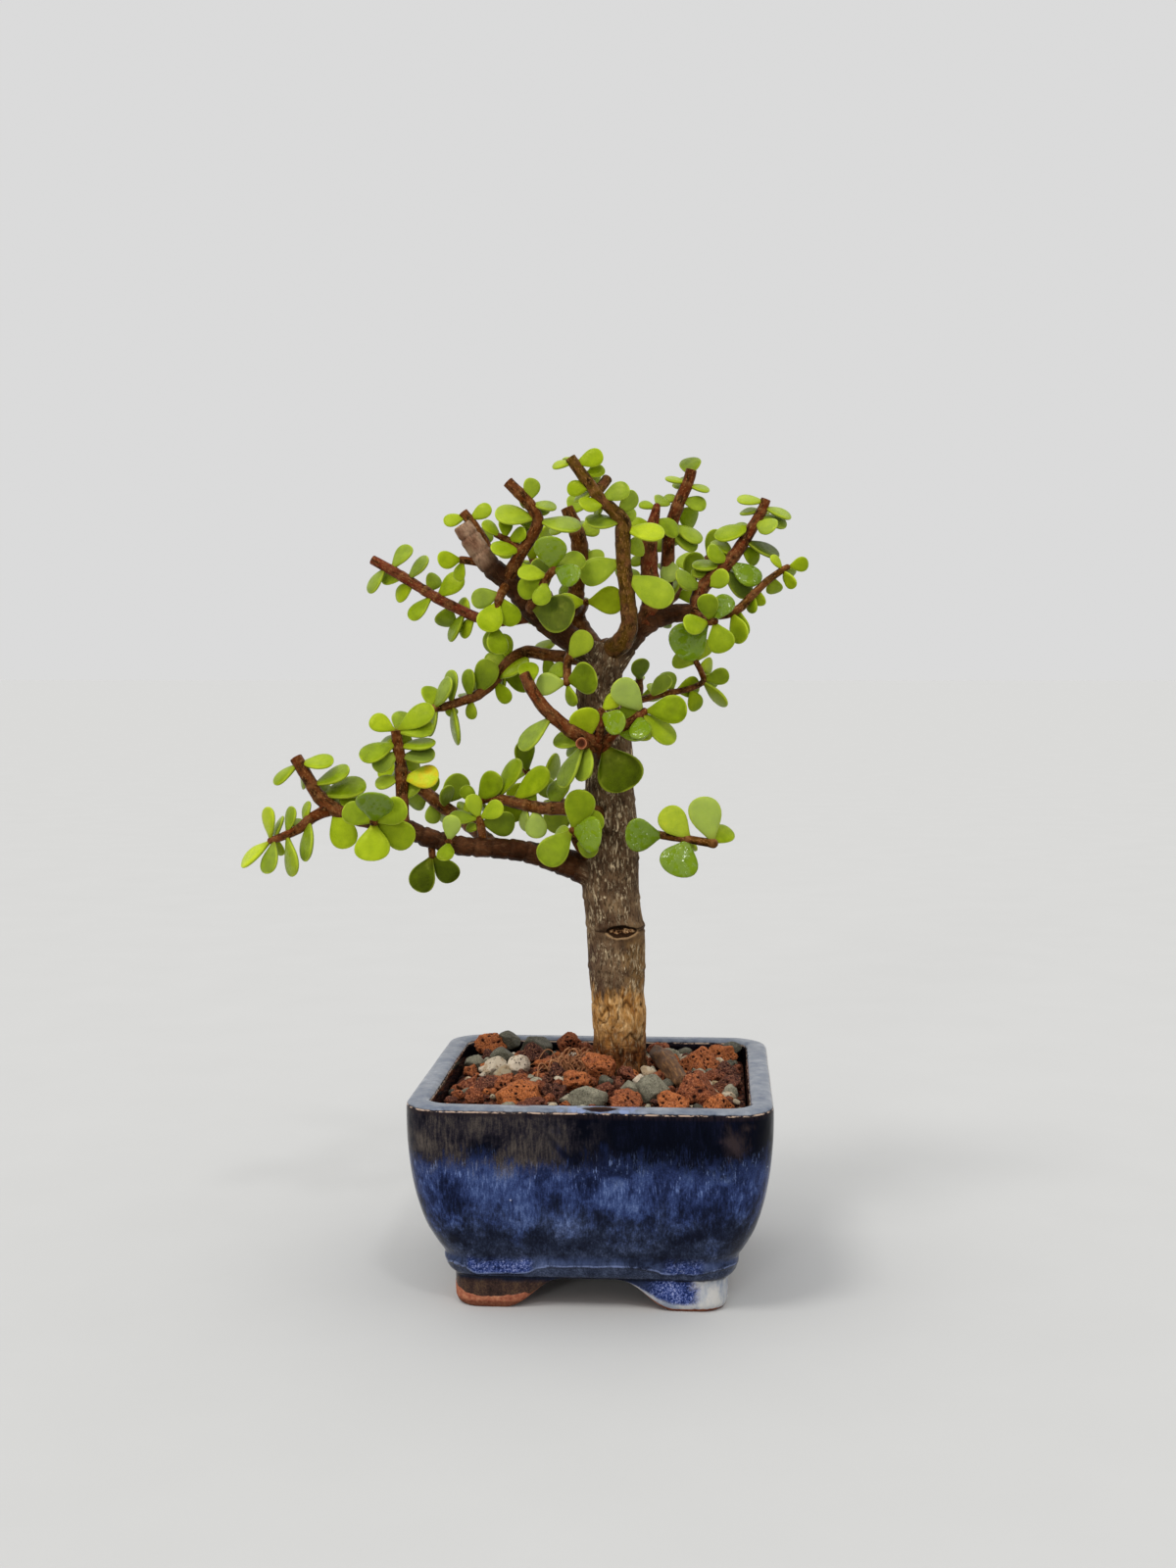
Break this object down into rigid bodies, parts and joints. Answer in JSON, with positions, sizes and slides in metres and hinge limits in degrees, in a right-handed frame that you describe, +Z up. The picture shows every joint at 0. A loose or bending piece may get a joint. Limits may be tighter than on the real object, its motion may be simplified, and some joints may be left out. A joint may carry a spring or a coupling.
{
  "type": "dwarf jade bonsai in a glazed pot",
  "caption": "Dwarf jade bonsai: a bare tapering trunk with spreading limbs and small fleshy paired leaves, growing in gravel in a low square glazed pot on corner feet.",
  "frame": {"origin": "middle of the bottom of the whole plant's bounding box, on the surface that the pot stands on", "axes": "+Z up along the trunk, +X to the viewer's right, -Y to the front of the bonsai"},
  "size_m": [0.1638, 0.1002, 0.2382],
  "materials": {
    "glaze": "glossy cobalt blue glaze, streaked, pale on the rim",
    "gravel": "rough lava and pumice grit",
    "mesh": "matt",
    "bark": "grey-brown bark, darker on the limbs",
    "leaf": "waxy fleshy leaf on a red-brown young stem"
  },
  "bodies": {
    "root": {"pot": "glaze", "drainage_mesh": "mesh", "soil": "gravel", "wood": "bark", "spray_low_left_tip": "leaf", "spray_low_left_front": "leaf", "spray_low_left_riser": "leaf", "spray_low_left_spur_front": "leaf", "spray_low_left_spur_under": "leaf", "spray_low_inner": "leaf", "spray_back_low": "leaf", "spray_second_left": "leaf", "spray_trunk_front_low": "leaf", "spray_right_low": "leaf", "spray_front_centre": "leaf", "spray_fork_front": "leaf", "spray_mid_left": "leaf", "spray_left_reach": "leaf", "spray_left_stub_side": "leaf", "spray_left_stub_back": "leaf", "spray_upper_left": "leaf", "spray_left_front": "leaf", "spray_centre_rosette": "leaf", "spray_front_upright": "leaf", "spray_back_middle": "leaf", "spray_second_upright": "leaf", "spray_right_upper": "leaf", "spray_right_crown": "leaf", "spray_right_outer": "leaf", "spray_right_front": "leaf", "spray_right_back": "leaf", "spray_back_high": "leaf", "spray_back_right": "leaf", "spray_back_centre": "leaf", "spray_back_low_left": "leaf"}
  },
  "joints": []
}
